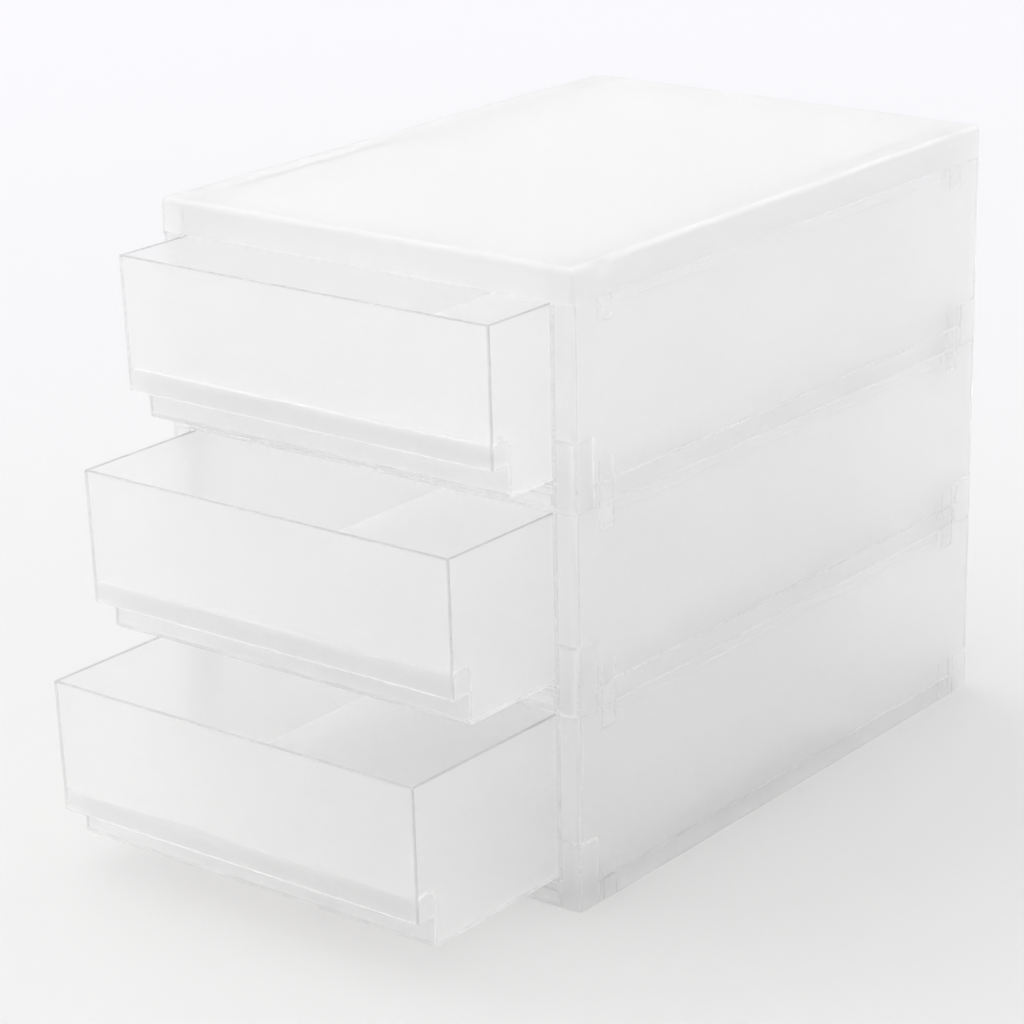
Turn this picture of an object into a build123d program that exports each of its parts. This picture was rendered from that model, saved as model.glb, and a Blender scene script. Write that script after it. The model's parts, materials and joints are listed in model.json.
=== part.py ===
"""Three-drawer organizer moulded in translucent plastic.

A cover lies on three stacked case tiers. Each tier holds a drawer that slides out to the front,
and pegs at the four corners of every seam join the cover and the tiers.
+Z is up, the drawers open towards -Y, and the origin is the middle of the case's front edge on the floor.
"""

import os

from build123d import *

# The case, outside
case_width = 260.0
case_depth = 370.0
tier_height = 102.5
cover_height = 17.5
case_wall = 2.2
case_corner_radius = 4.0

# How far each drawer stands open at rest
top_drawer_open = 45.0
middle_drawer_open = 78.0
bottom_drawer_open = 108.0

# The mouth of a tier: a jamb each side, folded back into the case
jamb_width = 13.4
jamb_depth = 11.0
jamb_wall = 1.8

# The deck that a drawer runs on, measured from the tier's base
deck_top = 12.0
deck_thickness = 2.0
runner_height = 2.2
runner_width = 2.0
runner_inset = 24.0
cross_rib_count = 3
cross_rib_height = 5.0
cross_rib_thickness = 1.6

# The sill under the mouth: a bottom flange, a web set back, and a bar along the top with a catch ridge
sill_depth = 7.0
sill_flange = 1.5
sill_web = 2.0
sill_bar_height = 4.4
sill_bar_setback = 0.8
sill_bar_rounding = 1.5
catch_setback = 2.0
catch_depth = 4.0

# Hollow corner blocks that carry the weight of the tiers above
block_depth = 17.0
front_block_height = 36.0
rear_block_height = 24.0
block_wall = 1.8

# Sockets for the joining pegs, at each end of both sides
socket_setback = 20.0
socket_length = 12.0
socket_reach = 9.2
socket_wall = 1.5
socket_depth = 11.0
guide_height = 10.0

# Pegs
peg_clearance = 0.2
peg_slot_width = 1.8
peg_slot_depth = 6.5
peg_chamfer = 0.8

# The lip on a tier's rim that keeps the next tier in line
lip_height = 3.5
lip_thickness = 1.4
lip_root = 6.0
lip_clearance = 0.2
lip_end_gap = 4.0
rear_lip_length = 180.0

# Ribs that hold a pulled-out drawer's rear down
hold_rib_thickness = 2.4
hold_rib_rise = 0.5

# The cover
cover_plate = 2.4
cover_edge_radius = 3.6
cover_rib_inset = 12.0
cover_rib_height = 7.0

# Clearances around a drawer
drawer_side_gap = 0.6
drawer_glide_gap = 0.3
drawer_rim_gap = 1.0
drawer_back_gap = 0.5

# The drawer
drawer_travel = 292.0
drawer_wall = 2.0
drawer_floor = 2.0
panel_wall = 2.2
panel_lean = 1.8
side_draft = 0.8
rear_lean = 1.0
drawer_front_corner = 1.5
drawer_rear_corner = 5.0
drawer_base_rounding = 1.2
rim_rounding = 0.5

# The finger groove under a drawer's front panel
groove_drop = 17.0
groove_rise = 13.0
groove_setback = 15.0

# Stops under a drawer's floor, which meet the catch ridge at full travel
stop_width = 40.0
stop_spacing = 100.0
stop_depth = 2.5
stop_gap = 0.6
stop_clearance = 0.3

# Places and sizes that follow from the values above
tier_names = ("bottom", "middle", "top")
drawer_open = {"bottom": bottom_drawer_open, "middle": middle_drawer_open, "top": top_drawer_open}
mouth_width = case_width - 2 * jamb_width
inner_width = case_width - 2 * case_wall
inner_back = case_depth - case_wall
deck_underside = deck_top - deck_thickness
runner_top = deck_top + runner_height
drawer_width = mouth_width - 2 * drawer_side_gap
rear_lip_front = inner_back - lip_clearance - lip_thickness
drawer_length = rear_lip_front - drawer_back_gap
drawer_base = runner_top + drawer_glide_gap
drawer_top = tier_height - drawer_rim_gap
panel_bottom = drawer_base + groove_drop
hold_rib_x = drawer_width / 2 - drawer_wall / 2


def block(x_range, y_range, z_range, mode=Mode.ADD):
    """A box between two places on each axis, in the part being built."""
    (x0, x1), (y0, y1), (z0, z1) = x_range, y_range, z_range
    with Locations(((x0 + x1) / 2, (y0 + y1) / 2, (z0 + z1) / 2)):
        Box(abs(x1 - x0), abs(y1 - y0), abs(z1 - z0), mode=mode)


def both_sides(x_range):
    """A range of x on the right side, then the same range mirrored to the left."""
    return x_range, (-x_range[0], -x_range[1])


def both_ends(y_range):
    """A range of y near the front, then the same range mirrored to the back."""
    return y_range, (case_depth - y_range[0], case_depth - y_range[1])


def corner_ranges(x_range, y_range):
    """The four corner copies of a plan rectangle."""
    return [(x, y) for x in both_sides(x_range) for y in both_ends(y_range)]


socket_x = (inner_width / 2 - socket_reach, inner_width / 2)
socket_y = (socket_setback, socket_setback + socket_length)
pocket_x = (socket_x[0] + socket_wall, socket_x[1])
pocket_y = (socket_y[0] + socket_wall, socket_y[1] - socket_wall)


def add_lower_sockets(roof):
    """Pockets in a base that take the pegs standing up from the tier below."""
    for x_range, y_range in corner_ranges(socket_x, socket_y):
        block(x_range, y_range, (0, roof))
    for x_range, y_range in corner_ranges(pocket_x, pocket_y):
        block(x_range, y_range, (0, deck_underside), mode=Mode.SUBTRACT)


def add_hold_down_ribs(top):
    """Two long ribs just above the side walls of the drawer below."""
    for side in (-1, 1):
        x_range = (side * hold_rib_x - hold_rib_thickness / 2, side * hold_rib_x + hold_rib_thickness / 2)
        block(x_range, (case_wall, inner_back), (hold_rib_rise, top))


def make_tier():
    """One case tier: walls, jambs, sill, deck, corner blocks, sockets and the rim's lip."""
    half_mouth = mouth_width / 2
    half_inner = inner_width / 2
    with BuildPart() as tier:
        # Side and back walls, with the front left as two jambs
        with BuildSketch(Plane.XY):
            with Locations((0, case_depth / 2)):
                RectangleRounded(case_width, case_depth, case_corner_radius)
                RectangleRounded(
                    inner_width,
                    case_depth - 2 * case_wall,
                    case_corner_radius - case_wall,
                    mode=Mode.SUBTRACT,
                )
            Rectangle(mouth_width, 3 * case_wall, mode=Mode.SUBTRACT)
        extrude(amount=tier_height)
        for x_range in both_sides((half_mouth, half_mouth + jamb_wall)):
            block(x_range, (0, jamb_depth), (0, tier_height))

        # Deck with its runners above and cross ribs below
        block((-half_inner, half_inner), (sill_depth - sill_web, inner_back), (deck_underside, deck_top))
        runner_x = half_mouth - runner_inset
        for x_range in both_sides((runner_x, runner_x + runner_width)):
            block(x_range, (sill_depth, inner_back), (deck_top, runner_top))
        for index in range(cross_rib_count):
            rib_y = case_depth * (index + 1) / (cross_rib_count + 1)
            rib_y_range = (rib_y, rib_y + cross_rib_thickness)
            block((-hold_rib_x, hold_rib_x), rib_y_range, (deck_underside - cross_rib_height, deck_underside))
        add_hold_down_ribs(deck_underside)

        # Sill across the mouth
        with BuildSketch(Plane.YZ) as sill_section:
            with Locations((sill_depth / 2, sill_flange / 2)):
                Rectangle(sill_depth, sill_flange)
            with Locations((sill_depth - sill_web / 2, deck_top / 2)):
                Rectangle(sill_web, deck_top)
            bar_depth = sill_depth - sill_bar_setback
            with Locations((sill_depth - bar_depth / 2, deck_top - sill_bar_height / 2)):
                Rectangle(bar_depth, sill_bar_height)
            bar_front = sill_section.vertices().filter_by(lambda v: abs(v.Y - sill_bar_setback) < 1e-6)
            fillet(bar_front, sill_bar_rounding)
            with Locations((catch_setback + catch_depth / 2, deck_top + runner_height / 2)):
                Rectangle(catch_depth, runner_height)
        extrude(amount=half_mouth + jamb_wall / 2, both=True)

        # Hollow blocks in the corners, open underneath
        for depth_end, height in ((0, front_block_height), (1, rear_block_height)):
            for x_range in both_sides((half_mouth, half_inner)):
                block(x_range, both_ends((case_wall, block_depth))[depth_end], (0, height))
            for x_range in both_sides((half_mouth + block_wall, half_inner)):
                hollow_y = both_ends((case_wall, block_depth - block_wall))[depth_end]
                block(x_range, hollow_y, (0, height - block_wall), mode=Mode.SUBTRACT)

        # Peg pockets in the base, guide ribs beside the drawer, and peg sockets under the rim
        add_lower_sockets(deck_top)
        for x_range, y_range in corner_ranges((half_mouth, half_inner), socket_y):
            block(x_range, y_range, (deck_top, deck_top + guide_height))
        for x_range, y_range in corner_ranges((half_mouth, half_inner), pocket_y):
            block(x_range, y_range, (deck_top, deck_top + guide_height), mode=Mode.SUBTRACT)
        socket_floor = tier_height - socket_depth
        for x_range, y_range in corner_ranges(socket_x, socket_y):
            block(x_range, y_range, (socket_floor - socket_wall, tier_height))
        for x_range, y_range in corner_ranges(pocket_x, pocket_y):
            block(x_range, y_range, (socket_floor, tier_height), mode=Mode.SUBTRACT)

        # Lip along the rim, inside the walls of whatever stands on it
        lip_face = half_inner - lip_clearance
        lip_y = (socket_y[1] + lip_end_gap, case_depth - socket_y[1] - lip_end_gap)
        for x_range in both_sides((lip_face - lip_thickness, lip_face)):
            block(x_range, lip_y, (tier_height - lip_root, tier_height + lip_height))
        for x_range in both_sides((lip_face - lip_thickness, half_inner)):
            block(x_range, lip_y, (tier_height - lip_root, tier_height))
        rear_lip_x = (-rear_lip_length / 2, rear_lip_length / 2)
        rear_lip_y = (rear_lip_front, rear_lip_front + lip_thickness)
        block(rear_lip_x, rear_lip_y, (tier_height - lip_root, tier_height + lip_height))
        block(rear_lip_x, (rear_lip_front, inner_back), (tier_height - lip_root, tier_height))
    return tier


def make_cover():
    """The cover: a plate with rounded edges, a skirt, ribs underneath and pockets for the top pegs."""
    plate_underside = cover_height - cover_plate
    with BuildPart() as cover:
        with BuildSketch(Plane.XY):
            with Locations((0, case_depth / 2)):
                RectangleRounded(case_width, case_depth, case_corner_radius)
        extrude(amount=cover_height)
        fillet(cover.faces().sort_by(Axis.Z)[-1].edges(), cover_edge_radius)
        with BuildSketch(Plane.XY):
            with Locations((0, case_depth / 2)):
                RectangleRounded(
                    inner_width, case_depth - 2 * case_wall, case_corner_radius - case_wall
                )
        extrude(amount=plate_underside, mode=Mode.SUBTRACT)
        add_hold_down_ribs(plate_underside)
        for y_range in both_ends((cover_rib_inset, cover_rib_inset + cross_rib_thickness)):
            block((-hold_rib_x, hold_rib_x), y_range, (plate_underside - cover_rib_height, plate_underside))
        add_lower_sockets(plate_underside)
    return cover


def panel_back(z):
    """The front panel's back face, which leans back towards the bottom."""
    lean_here = panel_lean * (drawer_top - z) / (drawer_top - panel_bottom)
    return lean_here + panel_wall


def rear_face(z):
    """The outside of the rear wall, which leans in towards the bottom."""
    return drawer_length - rear_lean * (drawer_top - z) / (drawer_top - drawer_base)


def half_width(z):
    """Half the drawer's outside width, which narrows towards the bottom."""
    return drawer_width / 2 - side_draft * (drawer_top - z) / (drawer_top - drawer_base)


def cut_to_draft(inset, z_low, z_high):
    """Keeps what lies between the two drafted side walls, moved in by the inset."""
    low, high = half_width(z_low) - inset, half_width(z_high) - inset
    with BuildSketch(Plane.XZ) as front_view:
        with BuildLine():
            Polyline((-low, z_low), (low, z_low), (high, z_high), (-high, z_high), close=True)
        make_face()
    extrude(front_view.sketch, amount=2 * drawer_length, both=True, mode=Mode.INTERSECT)


def make_drawer():
    """One drawer, with its front panel's top edge in the plane y = 0 and the tier's base at z = 0."""
    floor_top = drawer_base + drawer_floor
    arch_z = panel_bottom + groove_rise
    groove_left = panel_back(panel_bottom)
    groove_radius = (groove_setback - groove_left) / 2
    groove_y = groove_setback - groove_radius
    groove_z = arch_z - groove_radius
    above = drawer_top + panel_wall
    below = drawer_base - drawer_floor

    # The open space inside, over the ridge that the finger groove makes
    with BuildPart() as inside:
        with BuildSketch(Plane.YZ):
            with BuildLine():
                Polyline(
                    (panel_back(above), above),
                    (panel_back(floor_top), floor_top),
                    (rear_face(floor_top) - drawer_wall, floor_top),
                    (rear_face(above) - drawer_wall, above),
                    close=True,
                )
            make_face()
            ridge_back = groove_setback + drawer_wall
            with Locations((ridge_back / 2, (below + groove_z) / 2)):
                Rectangle(ridge_back, groove_z - below, mode=Mode.SUBTRACT)
            with Locations((groove_y, groove_z)):
                Circle(groove_radius + drawer_wall, mode=Mode.SUBTRACT)
        extrude(amount=drawer_width, both=True)
        cut_to_draft(drawer_wall, below, above)
        upright = inside.edges().filter_by(lambda e: abs((e % 0.5).Z) > 0.9)
        fillet(upright.group_by(Axis.Y)[-1], drawer_rear_corner - drawer_wall)

    # The finger groove, closed at its ends by the side walls
    with BuildPart() as groove:
        with BuildSketch(Plane.YZ):
            with Locations(((groove_left + groove_setback) / 2, (below + groove_z) / 2)):
                Rectangle(groove_setback - groove_left, groove_z - below)
            with Locations((groove_y, groove_z)):
                Circle(groove_radius)
        extrude(amount=drawer_width, both=True)
        cut_to_draft(drawer_wall, below, above)

    with BuildPart() as drawer:
        with BuildSketch(Plane.YZ):
            with BuildLine():
                Polyline(
                    (0, drawer_top),
                    (panel_lean, panel_bottom),
                    (groove_setback, panel_bottom),
                    (groove_setback, drawer_base),
                    (rear_face(drawer_base), drawer_base),
                    (drawer_length, drawer_top),
                    close=True,
                )
            make_face()
        extrude(amount=drawer_width, both=True)
        cut_to_draft(0, drawer_base, drawer_top)
        upright = drawer.edges().filter_by(lambda e: abs((e % 0.5).Z) > 0.9)
        rear_edges = upright.group_by(Axis.Y)[-1]
        fillet(rear_edges, drawer_rear_corner)
        front_edges = drawer.edges().filter_by(
            lambda e: abs((e % 0.5).Z) > 0.9 and (e @ 0.5).Y < groove_setback + drawer_wall
        )
        fillet(front_edges, drawer_front_corner)
        fillet(drawer.faces().sort_by(Axis.Z)[0].edges(), drawer_base_rounding)
        add(inside.part, mode=Mode.SUBTRACT)
        add(groove.part, mode=Mode.SUBTRACT)
        fillet(drawer.faces().sort_by(Axis.Z)[-1].edges(), rim_rounding)

        # Stops under the floor
        stop_y = sill_depth + drawer_travel + stop_clearance
        stop_x = (stop_spacing / 2 - stop_width / 2, stop_spacing / 2 + stop_width / 2)
        for x_range in both_sides(stop_x):
            block(x_range, (stop_y, stop_y + stop_depth), (deck_top + stop_gap, floor_top - drawer_floor / 2))
    return drawer


def make_peg():
    """One joining peg, centred on a seam, with its two ends split so that they spring into the sockets."""
    width = pocket_x[1] - pocket_x[0] - 2 * peg_clearance
    length = pocket_y[1] - pocket_y[0] - 2 * peg_clearance
    bottom = peg_clearance - socket_depth
    top = deck_underside - peg_clearance
    with BuildPart() as peg:
        block((-width / 2, width / 2), (-length / 2, length / 2), (bottom, top))
        ends = peg.faces().filter_by(Axis.Z).edges()
        chamfer(ends, peg_chamfer)
        slot_y = (-peg_slot_width / 2, peg_slot_width / 2)
        block((-width, width), slot_y, (top - peg_slot_depth, top), mode=Mode.SUBTRACT)
        block((-width, width), slot_y, (bottom, bottom + peg_slot_depth), mode=Mode.SUBTRACT)
    return peg


def write(piece, name, place):
    """Puts a finished piece in its place and writes it under its own name."""
    with BuildPart() as placed:
        with Locations(place):
            add(piece.part)
    placed.part.label = name
    export_step(placed.part, f"parts/{name}.step")


def main():
    os.makedirs("parts", exist_ok=True)
    tier, drawer, peg = make_tier(), make_drawer(), make_peg()
    for level, name in enumerate(tier_names):
        base = level * tier_height
        write(tier, f"case_tier_{name}", (0, 0, base))
        write(drawer, f"drawer_{name}", (0, -drawer_open[name], base))
    write(make_cover(), "top_cover", (0, 0, len(tier_names) * tier_height))

    peg_x = (pocket_x[0] + pocket_x[1]) / 2
    peg_y = (pocket_y[0] + pocket_y[1]) / 2
    for level, seam in enumerate(("lower", "upper", "cover"), start=1):
        for side, x in (("left", -peg_x), ("right", peg_x)):
            for end, y in (("front", peg_y), ("rear", case_depth - peg_y)):
                write(peg, f"joint_peg_{seam}_{end}_{side}", (x, y, level * tier_height))


main()
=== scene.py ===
"""Dresses the three-drawer organizer in frosted plastic and sets it in a pale studio.

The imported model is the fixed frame. Lengths are metres: +Z is up and the drawers open towards -Y.
"""

import json
import math

import bmesh
import bpy
from bpy.props import FloatProperty, FloatVectorProperty, PointerProperty
from mathutils import Matrix, Vector


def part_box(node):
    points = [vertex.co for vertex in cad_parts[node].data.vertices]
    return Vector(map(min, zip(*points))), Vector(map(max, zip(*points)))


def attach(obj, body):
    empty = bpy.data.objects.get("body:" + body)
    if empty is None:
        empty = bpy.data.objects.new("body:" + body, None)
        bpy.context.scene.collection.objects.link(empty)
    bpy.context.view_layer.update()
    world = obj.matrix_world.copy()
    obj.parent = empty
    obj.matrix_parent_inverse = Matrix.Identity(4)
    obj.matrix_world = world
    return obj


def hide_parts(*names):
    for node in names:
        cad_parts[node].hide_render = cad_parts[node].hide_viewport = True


bl_info = {
    "name": "Drawer organizer",
    "version": (1, 0, 0),
    "blender": (4, 5, 0),
    "location": "3D View > Sidebar > Organizer",
    "description": "Frosted plastic for a three-drawer organizer, and the studio it stands in",
    "category": "Object",
}

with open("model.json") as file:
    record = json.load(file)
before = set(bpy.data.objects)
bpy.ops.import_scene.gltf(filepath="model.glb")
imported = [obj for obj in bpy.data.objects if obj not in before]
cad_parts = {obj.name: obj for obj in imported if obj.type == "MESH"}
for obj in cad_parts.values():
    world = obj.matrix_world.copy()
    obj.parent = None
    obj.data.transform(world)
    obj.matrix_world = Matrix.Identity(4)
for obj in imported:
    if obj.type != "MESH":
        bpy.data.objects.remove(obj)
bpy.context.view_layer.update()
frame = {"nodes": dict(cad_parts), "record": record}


def colour_property(name, default, description):
    """A linear colour in the sidebar."""
    return FloatVectorProperty(
        name=name, description=description, default=default, subtype="COLOR", size=3, min=0.0, max=1.0
    )


def share_property(name, default, description):
    """A share between none and all in the sidebar."""
    return FloatProperty(
        name=name, description=description, default=default, min=0.0, max=1.0, subtype="FACTOR"
    )


def length_property(name, default, description):
    """A length in metres in the sidebar."""
    return FloatProperty(
        name=name, description=description, default=default, min=0.0, unit="LENGTH", precision=5
    )


class OrganizerPlastic(bpy.types.PropertyGroup):
    """The frosted plastic of the case, the drawers, the cover and the pegs."""

    case_tint: colour_property("Case tint", (0.963, 0.963, 0.963), "Colour of the three case tiers")
    drawer_tint: colour_property("Drawer tint", (0.993, 0.993, 0.993), "Colour of the three drawers")
    # Painted shade: a darker colour on the drawers' rims and front corners, where the plastic's edges look
    # dark
    edge_shade_tint: colour_property(
        "Painted edge shade", (0.65, 0.65, 0.65), "Colour of the drawers' rims and front corners"
    )
    # Painted shade: a darker colour inside the drawers' finger grooves, where shade falls in the recess
    groove_shade_tint: colour_property(
        "Painted groove shade", (0.86, 0.86, 0.86), "Colour inside the drawers' finger grooves"
    )
    cover_tint: colour_property("Cover tint", (0.963, 0.963, 0.963), "Colour of the cover")
    peg_tint: colour_property("Peg tint", (0.998, 0.998, 0.998), "Colour of the joining pegs")
    case_frost: share_property("Case frost", 0.75, "Roughness of the case's frosted spots")
    drawer_frost: share_property("Drawer frost", 0.62, "Roughness of the drawers' frosted spots")
    cover_frost: share_property("Cover frost", 0.6, "Roughness of the cover's frosted spots")
    peg_frost: share_property("Peg frost", 0.3, "Roughness of the pegs' frosted spots")
    case_clear: share_property("Case clearness", 0.24, "Roughness of the case between the frosted spots")
    drawer_clear: share_property(
        "Drawer clearness", 0.24, "Roughness of the drawers between the frosted spots"
    )
    cover_clear: share_property("Cover clearness", 0.5, "Roughness of the cover between the frosted spots")
    peg_clear: share_property("Peg clearness", 0.2, "Roughness of the pegs between the frosted spots")
    cloud_size: length_property("Cloud size", 0.06, "Size of the faint clouds in the plastic")
    speckle_size: length_property("Speckle size", 0.00015, "Size of the frosted spots on a moulded face")
    grain_size: length_property("Grain size", 0.0016, "Size of the fine grain on the moulded faces")
    edge_radius: length_property("Edge radius", 0.0002, "Radius of the moulded edges")
    air_gap: length_property("Air gap", 0.00005, "Half the gap of air where two pieces touch")
    refraction: FloatProperty(
        name="Refraction", description="Refractive index of the plastic", default=1.49, min=1.0, max=2.0
    )


class OrganizerStudio(bpy.types.PropertyGroup):
    """The floor, the key light and the soft light from all round."""

    # Painted shade: the floor's colour is darker near the organizer and paler far away
    floor_near_shaded: colour_property("Floor", (0.765, 0.76, 0.758), "Colour of the floor round the organizer")
    floor_middle_shaded: colour_property("Middle floor", (0.805, 0.803, 0.813), "Colour of the floor a step away")
    floor_far: colour_property("Backdrop", (0.835, 0.825, 0.865), "Colour of the floor far away")
    bright_side: FloatProperty(
        name="Bright side",
        description="Strength of the soft light from the upper left",
        default=1.29,
        min=0.0,
    )
    dim_side: FloatProperty(
        name="Dim side",
        description="Strength of the soft light from the lower right",
        default=0.47,
        min=0.0,
    )
    key_strength: FloatProperty(
        name="Key light", description="Strength of the soft key light", default=0.45, min=0.0
    )
    key_spread: FloatProperty(
        name="Key spread",
        description="Width of the key light in the sky",
        default=math.radians(60),
        subtype="ANGLE",
    )


PLAIN_DETAIL = 2.0
NOISE_MIDDLE = 0.5


class Nodes:
    """Adds shader nodes to a material's tree and links them."""

    def __init__(self, material):
        material.use_nodes = True
        self.tree = material.node_tree
        self.shader = self.tree.nodes["Principled BSDF"]

    def add(self, kind, **settings):
        """Adds a node of a kind, with its settings."""
        node = self.tree.nodes.new(kind)
        for name, value in settings.items():
            setattr(node, name, value)
        return node

    def link(self, source, target):
        """Leads a node's output to another node's input."""
        self.tree.links.new(source, target)

    def noise(self, coordinates, size, detail=PLAIN_DETAIL):
        """Noise with features of about one size, in metres."""
        node = self.add("ShaderNodeTexNoise")
        node.inputs["Scale"].default_value = 1.0 / size
        node.inputs["Detail"].default_value = detail
        self.link(coordinates, node.inputs["Vector"])
        return node.outputs["Fac"]

    def spread(self, value, low, high, band):
        """Spreads the middle band of a noise between two values."""
        node = self.add("ShaderNodeMapRange")
        node.inputs["From Min"].default_value = NOISE_MIDDLE - band
        node.inputs["From Max"].default_value = NOISE_MIDDLE + band
        node.inputs["To Min"].default_value = low
        node.inputs["To Max"].default_value = high
        self.link(value, node.inputs["Value"])
        return node.outputs["Result"]

    def blend(self, factor, first, second):
        """Blends two colours by a value."""
        node = self.add("ShaderNodeMix", data_type="RGBA")
        node.inputs["A"].default_value = (*first, 1.0)
        node.inputs["B"].default_value = (*second, 1.0)
        self.link(factor, node.inputs["Factor"])
        return node.outputs["Result"]

    def bump(self, height, depth, strength, normal=None):
        """Small hills of a height's shape, over another bump's where one is given."""
        node = self.add("ShaderNodeBump")
        node.inputs["Strength"].default_value = strength
        node.inputs["Distance"].default_value = depth
        self.link(height, node.inputs["Height"])
        if normal is not None:
            self.link(normal, node.inputs["Normal"])
        return node.outputs["Normal"]


# How much the clouds darken the plastic, how fine they are, and how sharply frosted spots end
CLOUD_DEPTH = 0.996
CLOUD_DETAIL = 4.0
FROST_BAND = 0.08

# The fine grain and the long waves of a moulded face: sizes and depths in metres, strengths as shares
GRAIN_DEPTH = 0.00006
GRAIN_STRENGTH = 0.25
WAVE_SIZE = 0.035
WAVE_DEPTH = 0.0002
WAVE_STRENGTH = 0.15


def frosted_plastic(name, tint, clear, frost, plastic):
    """Moulded frosted plastic: rough clear faces, faintly cloudy, with a fine grain."""
    material = bpy.data.materials.new(name)
    nodes = Nodes(material)
    shader = nodes.shader
    shader.inputs["Transmission Weight"].default_value = 1.0
    shader.inputs["IOR"].default_value = plastic.refraction
    place = nodes.add("ShaderNodeTexCoord").outputs["Object"]
    cloud = nodes.noise(place, plastic.cloud_size, CLOUD_DETAIL)
    cloudy = tuple(part * CLOUD_DEPTH for part in tint)
    nodes.link(nodes.blend(cloud, tint, cloudy), shader.inputs["Base Color"])
    speckle = nodes.noise(place, plastic.speckle_size)
    nodes.link(nodes.spread(speckle, clear, frost, FROST_BAND), shader.inputs["Roughness"])
    wave = nodes.bump(nodes.noise(place, WAVE_SIZE), WAVE_DEPTH, WAVE_STRENGTH)
    grain = nodes.bump(nodes.noise(place, plastic.grain_size), GRAIN_DEPTH, GRAIN_STRENGTH, wave)
    nodes.link(grain, shader.inputs["Normal"])
    return material


MERGE_DISTANCE = 1e-6
FLAT_ANGLE = math.radians(0.3)
SHARP_ANGLE = math.radians(32)
EDGE_SEGMENTS = 2


def moulded_copy(name, radius, air_gap):
    """A merged copy of a CAD node with its sharp edges rounded, which stands for the node."""
    source = frame["nodes"][name]
    shape = bmesh.new()
    shape.from_mesh(source.data)
    bmesh.ops.remove_doubles(shape, verts=shape.verts, dist=MERGE_DISTANCE)
    bmesh.ops.dissolve_limit(shape, angle_limit=FLAT_ANGLE, verts=shape.verts, edges=shape.edges)
    sharp = [edge for edge in shape.edges if edge.calc_face_angle(0.0) > SHARP_ANGLE]
    bmesh.ops.bevel(
        shape,
        geom=sharp,
        offset=radius,
        offset_type="OFFSET",
        segments=EDGE_SEGMENTS,
        profile=0.5,
        affect="EDGES",
        clamp_overlap=True,
        loop_slide=True,
        material=-1,
    )
    for vertex in shape.verts:
        vertex.co -= vertex.normal * vertex.calc_shell_factor() * air_gap
    for face in shape.faces:
        face.smooth = True
    mesh = bpy.data.meshes.new(f"{name}_moulded")
    shape.to_mesh(mesh)
    shape.free()
    piece = bpy.data.objects.new(f"{name}_moulded", mesh)
    bpy.context.scene.collection.objects.link(piece)
    even = piece.modifiers.new("even_faces", "WEIGHTED_NORMAL")
    even.keep_sharp = True
    return piece


def body_of_node(name):
    """The body that a CAD node belongs to."""
    for body, nodes in frame["record"]["behaviour"]["bodies"].items():
        if name in nodes:
            return body
    raise ValueError(f"{name} belongs to no body")


def mould(prefix, materials):
    """Replaces each CAD node of a group by its rounded copy, and returns the copies by node."""
    plastic = bpy.context.scene.organizer_plastic
    names = [name for name in frame["nodes"] if name.startswith(prefix)]
    if not names:
        raise ValueError(f"no node starts with {prefix}")
    pieces = {}
    for name in names:
        piece = moulded_copy(name, plastic.edge_radius, plastic.air_gap)
        for material in materials:
            piece.data.materials.append(material)
        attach(piece, body_of_node(name))
        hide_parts(name)
        pieces[name] = piece
    return pieces


# How far the rim's faces reach down, and the front corners' faces back; these faces get painted edge shade
RIM_DEPTH = 0.0006
CORNER_REACH = 0.004

# A face turned further than this to the side, as a share of its normal, is no flat front or back
CORNER_TURN = 0.25

# How far behind the front the finger groove's faces lie, and how high above the drawer's base; these faces
# get painted groove shade
GROOVE_REACH = (0.0015, 0.0155)
GROOVE_TOP = 0.0305

# The places of a drawer's three materials in its list: the plain wall, then painted shade on the rims and
# front corners, then painted shade in the finger grooves
WALL, EDGE, GROOVE = 0, 1, 2


def place_on_drawer(face, low, high):
    """Whether a drawer's face lies on its rim or a front corner, in its finger groove or on a wall."""
    behind_front = face.center.y - low.y
    sideways = abs(face.normal.x)
    if face.center.z > high.z - RIM_DEPTH:
        return EDGE
    if behind_front < CORNER_REACH and face.normal.y < -CORNER_TURN and sideways > CORNER_TURN:
        return EDGE
    in_reach = GROOVE_REACH[0] < behind_front < GROOVE_REACH[1]
    if in_reach and face.center.z < low.z + GROOVE_TOP and sideways < CORNER_TURN:
        return GROOVE
    return WALL


class ORGANIZER_OT_tiers(bpy.types.Operator):
    """Mould the three case tiers in frosted plastic"""

    bl_idname = "organizer.tiers"
    bl_label = "Case tiers"

    def execute(self, context):
        plastic = context.scene.organizer_plastic
        finish = (plastic.case_tint, plastic.case_clear, plastic.case_frost, plastic)
        material = frosted_plastic("case_plastic", *finish)
        mould("case_tier", [material])
        return {"FINISHED"}


class ORGANIZER_OT_cover(bpy.types.Operator):
    """Mould the flat cover in frosted plastic"""

    bl_idname = "organizer.cover"
    bl_label = "Cover"

    def execute(self, context):
        plastic = context.scene.organizer_plastic
        finish = (plastic.cover_tint, plastic.cover_clear, plastic.cover_frost, plastic)
        material = frosted_plastic("cover_plastic", *finish)
        mould("top_cover", [material])
        return {"FINISHED"}


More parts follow.
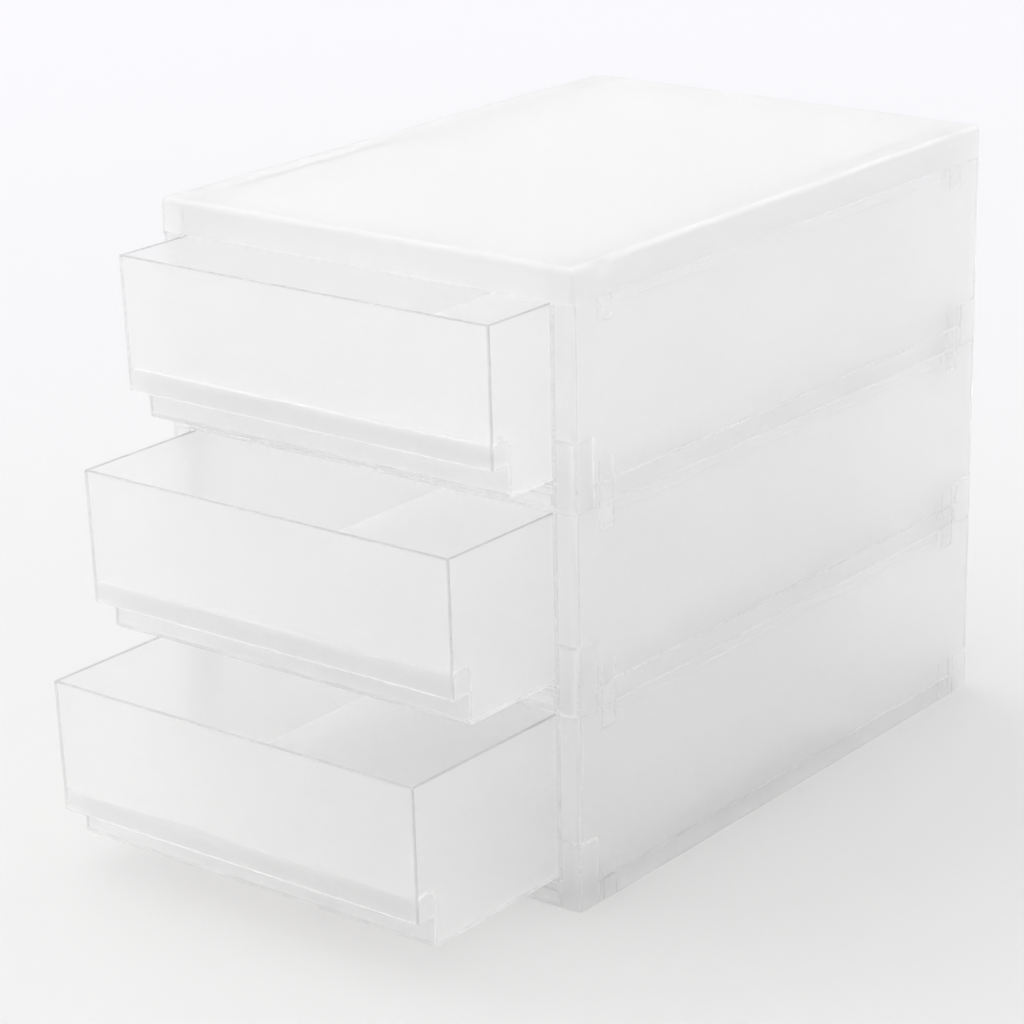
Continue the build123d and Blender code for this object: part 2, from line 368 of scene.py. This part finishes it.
class ORGANIZER_OT_drawers(bpy.types.Operator):
    """Mould the three drawers in frosted plastic, with painted shade on their rims, front corners and
    finger grooves
    """

    bl_idname = "organizer.drawers"
    bl_label = "Drawers"

    def execute(self, context):
        plastic = context.scene.organizer_plastic
        finish = (plastic.drawer_clear, plastic.drawer_frost, plastic)
        wall = frosted_plastic("drawer_plastic", plastic.drawer_tint, *finish)
        # Painted shade: darker copies of the drawer plastic for the rims and front corners, and for the
        # finger grooves
        edge = frosted_plastic("drawer_edge_shade_plastic", plastic.edge_shade_tint, *finish)
        groove = frosted_plastic("drawer_groove_shade_plastic", plastic.groove_shade_tint, *finish)
        for name, piece in mould("drawer", [wall, edge, groove]).items():
            low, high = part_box(name)
            for face in piece.data.polygons:
                face.material_index = place_on_drawer(face, low, high)
        return {"FINISHED"}


class ORGANIZER_OT_pegs(bpy.types.Operator):
    """Mould the pegs that join the tiers and the cover"""

    bl_idname = "organizer.pegs"
    bl_label = "Joining pegs"

    def execute(self, context):
        plastic = context.scene.organizer_plastic
        finish = (plastic.peg_tint, plastic.peg_clear, plastic.peg_frost, plastic)
        material = frosted_plastic("peg_plastic", *finish)
        mould("joint_peg", [material])
        return {"FINISHED"}


# Where the key light stands and what it is aimed at, then the sky's brightest side and its colour
KEY_PLACE = (-2.0, 0.4, 1.9)
AIM = (0.0, 0.15, 0.16)
BRIGHT_DIRECTION = (-0.6, -0.65, 0.9)
SKY_COLOUR = (0.99, 0.988, 0.985)

# The floor: its colour changes at the stops, which are shares of the reach from its middle, darker near the
# middle as painted shade round the organizer, and it lies a little lower than the object's base
FLOOR_SIZE = 60.0
FLOOR_CELLS = 4
FLOOR_ROUGHNESS = 0.8
FLOOR_GLOSS = 0.1
FLOOR_STOPS = (0.05, 0.3, 1.0)
FLOOR_REACH = 2.4
FLOOR_DROP = 0.0002


def add_key(strength, spread):
    """A wide soft light from the upper left, even over the whole floor."""
    light = bpy.data.lights.new("key", "SUN")
    light.energy = strength
    light.angle = spread
    holder = bpy.data.objects.new("key", light)
    holder.location = KEY_PLACE
    holder.rotation_mode = "QUATERNION"
    holder.rotation_quaternion = (Vector(AIM) - Vector(KEY_PLACE)).to_track_quat("-Z", "Y")
    bpy.context.scene.collection.objects.link(holder)


def add_surroundings(scene, studio):
    """Soft light from all round, brightest from the upper left."""
    world = bpy.data.worlds.new("studio")
    scene.world = world
    world.use_nodes = True
    tree = world.node_tree
    background = tree.nodes["Background"]
    background.inputs["Color"].default_value = (*SKY_COLOUR, 1.0)
    side = tree.nodes.new("ShaderNodeVectorMath")
    side.operation = "DOT_PRODUCT"
    side.inputs[1].default_value = Vector(BRIGHT_DIRECTION).normalized()
    tree.links.new(tree.nodes.new("ShaderNodeTexCoord").outputs["Generated"], side.inputs[0])
    level = tree.nodes.new("ShaderNodeMapRange")
    level.inputs["From Min"].default_value = -1.0
    level.inputs["To Min"].default_value = studio.dim_side
    level.inputs["To Max"].default_value = studio.bright_side
    tree.links.new(side.outputs["Value"], level.inputs["Value"])
    tree.links.new(level.outputs["Result"], background.inputs["Strength"])


def shaded_floor_finish(studio):
    """A matt pale floor with painted shade round the organizer, a little whiter away from it."""
    material = bpy.data.materials.new("studio_floor")
    nodes = Nodes(material)
    place = nodes.add("ShaderNodeTexCoord").outputs["Object"]
    distance = nodes.add("ShaderNodeVectorMath", operation="LENGTH")
    nodes.link(place, distance.inputs[0])
    reach = nodes.add("ShaderNodeMapRange")
    reach.inputs["From Max"].default_value = FLOOR_REACH
    nodes.link(distance.outputs["Value"], reach.inputs["Value"])
    ramp = nodes.add("ShaderNodeValToRGB")
    ramp.color_ramp.interpolation = "B_SPLINE"
    stops = ramp.color_ramp.elements
    stops.new(FLOOR_STOPS[1])
    colours = (studio.floor_near_shaded, studio.floor_middle_shaded, studio.floor_far)
    for stop, position, colour in zip(stops, FLOOR_STOPS, colours):
        stop.position = position
        stop.color = (*colour, 1.0)
    nodes.link(reach.outputs["Result"], ramp.inputs["Fac"])
    nodes.link(ramp.outputs["Color"], nodes.shader.inputs["Base Color"])
    nodes.shader.inputs["Roughness"].default_value = FLOOR_ROUGHNESS
    nodes.shader.inputs["Specular IOR Level"].default_value = FLOOR_GLOSS
    return material


def add_floor(studio):
    """A wide floor under the organizer."""
    shape = bmesh.new()
    bmesh.ops.create_grid(shape, x_segments=FLOOR_CELLS, y_segments=FLOOR_CELLS, size=FLOOR_SIZE / 2)
    bmesh.ops.translate(shape, verts=shape.verts, vec=(0.0, 0.0, -FLOOR_DROP))
    mesh = bpy.data.meshes.new("studio_floor")
    shape.to_mesh(mesh)
    shape.free()
    mesh.materials.append(shaded_floor_finish(studio))
    floor = bpy.data.objects.new("studio_floor", mesh)
    bpy.context.scene.collection.objects.link(floor)


LIGHT_BOUNCES = 64
DIFFUSE_BOUNCES = 12


class ORGANIZER_OT_studio(bpy.types.Operator):
    """Lay the floor, set the lamps and the camera"""

    bl_idname = "organizer.studio"
    bl_label = "Studio"

    def execute(self, context):
        scene = context.scene
        studio = scene.organizer_studio
        add_floor(studio)
        add_surroundings(scene, studio)
        add_key(studio.key_strength, studio.key_spread)
        add_camera(scene)
        scene.view_settings.view_transform = "Standard"
        scene.cycles.max_bounces = LIGHT_BOUNCES
        scene.cycles.transmission_bounces = LIGHT_BOUNCES
        scene.cycles.glossy_bounces = LIGHT_BOUNCES
        scene.cycles.diffuse_bounces = DIFFUSE_BOUNCES
        scene.cycles.caustics_refractive = True
        scene.cycles.caustics_reflective = True
        scene.cycles.blur_glossy = 0.0
        return {"FINISHED"}


# The camera, fitted to the object's straight edges: its place in metres, its sensor in millimetres
# and its angles in degrees
FRAME_PIXELS = 1024
SENSOR = 36.0
FOCAL_PIXELS = 3330.0
CAMERA_PLACE = (1.0196, -1.1801, 0.7132)
CAMERA_AZIMUTH = 38.16
CAMERA_ELEVATION = 18.86
CAMERA_ROLL = -1.14
NEAREST = 0.05
FARTHEST = 100.0


def add_camera(scene):
    """A long lens from the front right, above the cover."""
    camera = bpy.data.cameras.new("camera")
    camera.sensor_width = SENSOR
    camera.lens = FOCAL_PIXELS / FRAME_PIXELS * SENSOR
    camera.clip_start = NEAREST
    camera.clip_end = FARTHEST
    holder = bpy.data.objects.new("camera", camera)
    azimuth, elevation = math.radians(CAMERA_AZIMUTH), math.radians(CAMERA_ELEVATION)
    flat = math.cos(elevation)
    back = Vector((math.sin(azimuth) * flat, -math.cos(azimuth) * flat, math.sin(elevation)))
    turn = (-back).to_track_quat("-Z", "Y").to_matrix() @ Matrix.Rotation(math.radians(CAMERA_ROLL), 3, "Z")
    holder.matrix_world = Matrix.LocRotScale(Vector(CAMERA_PLACE), turn.to_quaternion(), None)
    scene.collection.objects.link(holder)
    scene.camera = holder


class ORGANIZER_PT_panel(bpy.types.Panel):
    """Lists the operators that make the organizer and its studio"""

    bl_idname = "ORGANIZER_PT_panel"
    bl_label = "Drawer organizer"
    bl_space_type = "VIEW_3D"
    bl_region_type = "UI"
    bl_category = "Organizer"

    def draw(self, context):
        for operator in OPERATORS:
            self.layout.operator(operator.bl_idname)


OPERATORS = (
    ORGANIZER_OT_tiers,
    ORGANIZER_OT_cover,
    ORGANIZER_OT_drawers,
    ORGANIZER_OT_pegs,
    ORGANIZER_OT_studio,
)
CLASSES = (OrganizerPlastic, OrganizerStudio, *OPERATORS, ORGANIZER_PT_panel)


def register():
    for cls in CLASSES:
        bpy.utils.register_class(cls)
    bpy.types.Scene.organizer_plastic = PointerProperty(type=OrganizerPlastic)
    bpy.types.Scene.organizer_studio = PointerProperty(type=OrganizerStudio)


def unregister():
    del bpy.types.Scene.organizer_studio
    del bpy.types.Scene.organizer_plastic
    for cls in reversed(CLASSES):
        bpy.utils.unregister_class(cls)


def main():
    register()
    bpy.ops.organizer.tiers()
    bpy.ops.organizer.cover()
    bpy.ops.organizer.drawers()
    bpy.ops.organizer.pegs()
    bpy.ops.organizer.studio()


if __name__ == "__main__":
    main()
